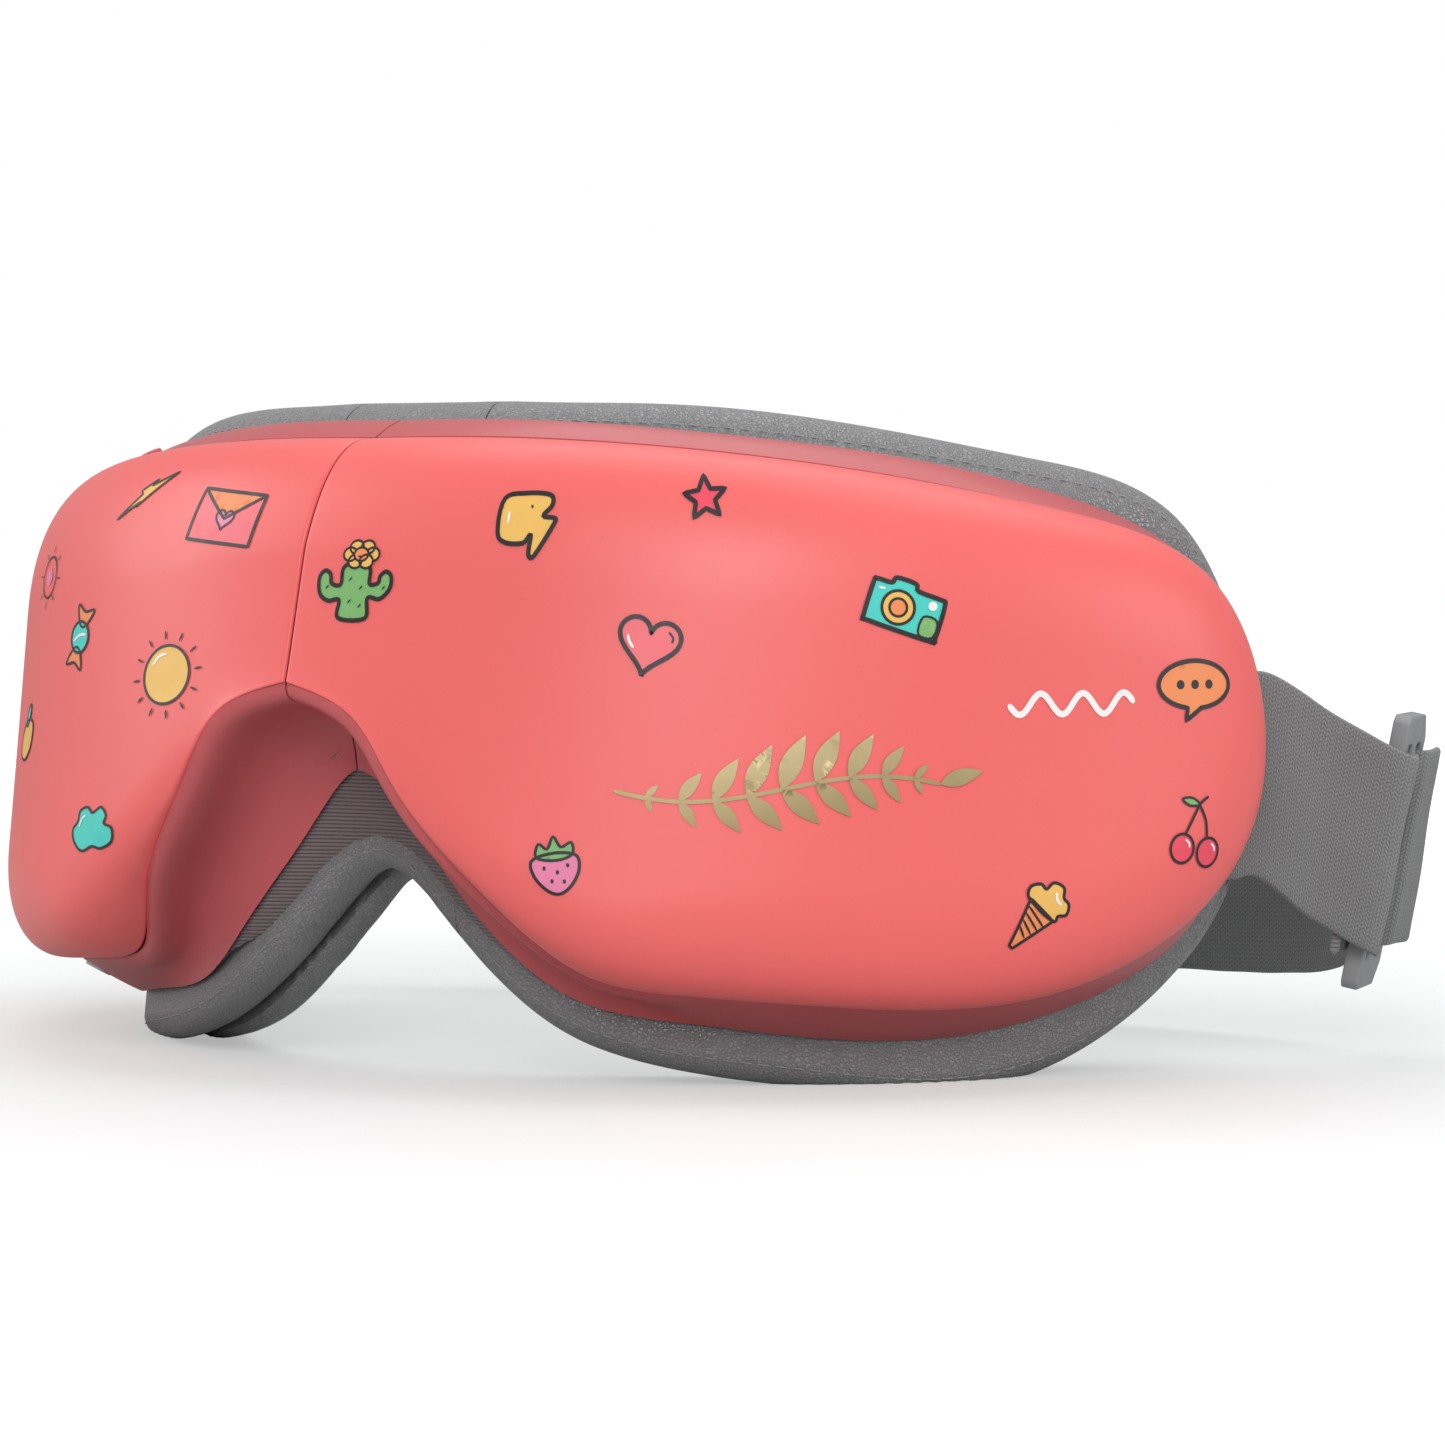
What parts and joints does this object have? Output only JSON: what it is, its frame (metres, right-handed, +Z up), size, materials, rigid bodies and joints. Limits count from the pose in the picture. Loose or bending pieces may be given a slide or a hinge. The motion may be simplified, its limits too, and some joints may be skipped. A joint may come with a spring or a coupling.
{
  "type": "eye massager mask",
  "caption": "Folding eye massager mask with curved hard covers, a padded face ring, heated eye pads, side buttons and an adjustable webbing head strap.",
  "frame": {"origin": "on the surface the mask stands on, below the centre of its bounding box", "axes": "+X towards the wearer's left temple, -Y is the front, +Z up when the mask stands on its cheek pads"},
  "size_m": [0.2108, 0.1392, 0.09],
  "materials": {
    "coral_gloss": "satin gloss coral, printed with small coloured pictures",
    "coral_satin": "darker coral, satin",
    "grey_leather": "fine grained grey protein leather with a stitched seam",
    "grey_fabric": "soft brushed cloth",
    "webbing": "ribbed elastic webbing",
    "dark_rubber": "ribbed elastic",
    "grey_plastic": "moulded grey",
    "black_plastic": "moulded black",
    "steel": "bright",
    "heater_film": "amber film",
    "airbag_film": "translucent film",
    "battery_wrap": "blue shrink wrap",
    "board": "green solder mask",
    "light_lens": "clear lens"
  },
  "bodies": {
    "left_half": {"front_cover_left": "coral_gloss", "housing_left": "coral_satin", "back_frame_left": "grey_plastic", "face_cushion_left": "grey_leather", "eye_pad_left": "grey_fabric", "heater_left": "heater_film", "airbag_left": "airbag_film", "speaker_left": "black_plastic", "vibration_motor_left": "steel", "strap_clamp_left": "steel", "housing_screw_left_1": "steel", "housing_screw_left_2": "steel", "housing_screw_left_3": "steel", "battery": "battery_wrap", "air_pump_motor": "steel", "air_pump_head": "grey_plastic", "air_valve": "airbag_film", "air_tube": "airbag_film", "hinge_leaf_left": "steel", "hinge_pin": "steel", "hinge_cable": "heater_film", "bridge_cushion": "grey_leather", "nose_gusset": "dark_rubber", "strap_left": "webbing", "strap_buckle": "grey_plastic", "strap_main": "webbing"},
    "right_half": {"front_cover_right": "coral_gloss", "housing_right": "coral_satin", "back_frame_right": "grey_plastic", "face_cushion_right": "grey_leather", "eye_pad_right": "grey_fabric", "heater_right": "heater_film", "airbag_right": "airbag_film", "speaker_right": "black_plastic", "vibration_motor_right": "steel", "strap_clamp_right": "steel", "housing_screw_right_1": "steel", "housing_screw_right_2": "steel", "housing_screw_right_3": "steel", "main_board": "board", "charge_port": "steel", "power_switch": "grey_plastic", "mode_switch": "grey_plastic", "status_light": "light_lens", "hinge_leaf_right": "steel"},
    "power_button": {"power_button": "coral_satin"},
    "mode_button": {"mode_button": "coral_satin"},
    "motor_weight_left": {"vibration_weight_left": "steel"},
    "motor_weight_right": {"vibration_weight_right": "steel"}
  },
  "joints": [
    {"name": "fold", "type": "hinge", "parent": "left_half", "child": "right_half", "pos_m": [-0.0039, -0.0431, 0.06], "axis": [0, 0, -1], "range_deg": [0, 55], "deforming": ["bridge_cushion", "nose_gusset", "hinge_cable", "strap_main"]},
    {"name": "power_press", "type": "slide", "parent": "right_half", "child": "power_button", "axis": [0.3312, 0.2375, -0.9132], "range_m": [0, 0.0006], "stiffness_N_per_m": 400},
    {"name": "mode_press", "type": "slide", "parent": "right_half", "child": "mode_button", "axis": [0.4349, 0.1731, -0.8837], "range_m": [0, 0.0006], "stiffness_N_per_m": 400},
    {"name": "left_motor_spin", "type": "hinge", "parent": "left_half", "child": "motor_weight_left", "pos_m": [0.01782, -0.0566, 0.0536], "axis": [0, 0, 1], "continuous": true},
    {"name": "right_motor_spin", "type": "hinge", "parent": "right_half", "child": "motor_weight_right", "pos_m": [-0.02562, -0.0566, 0.0536], "axis": [0, 0, 1], "continuous": true}
  ]
}
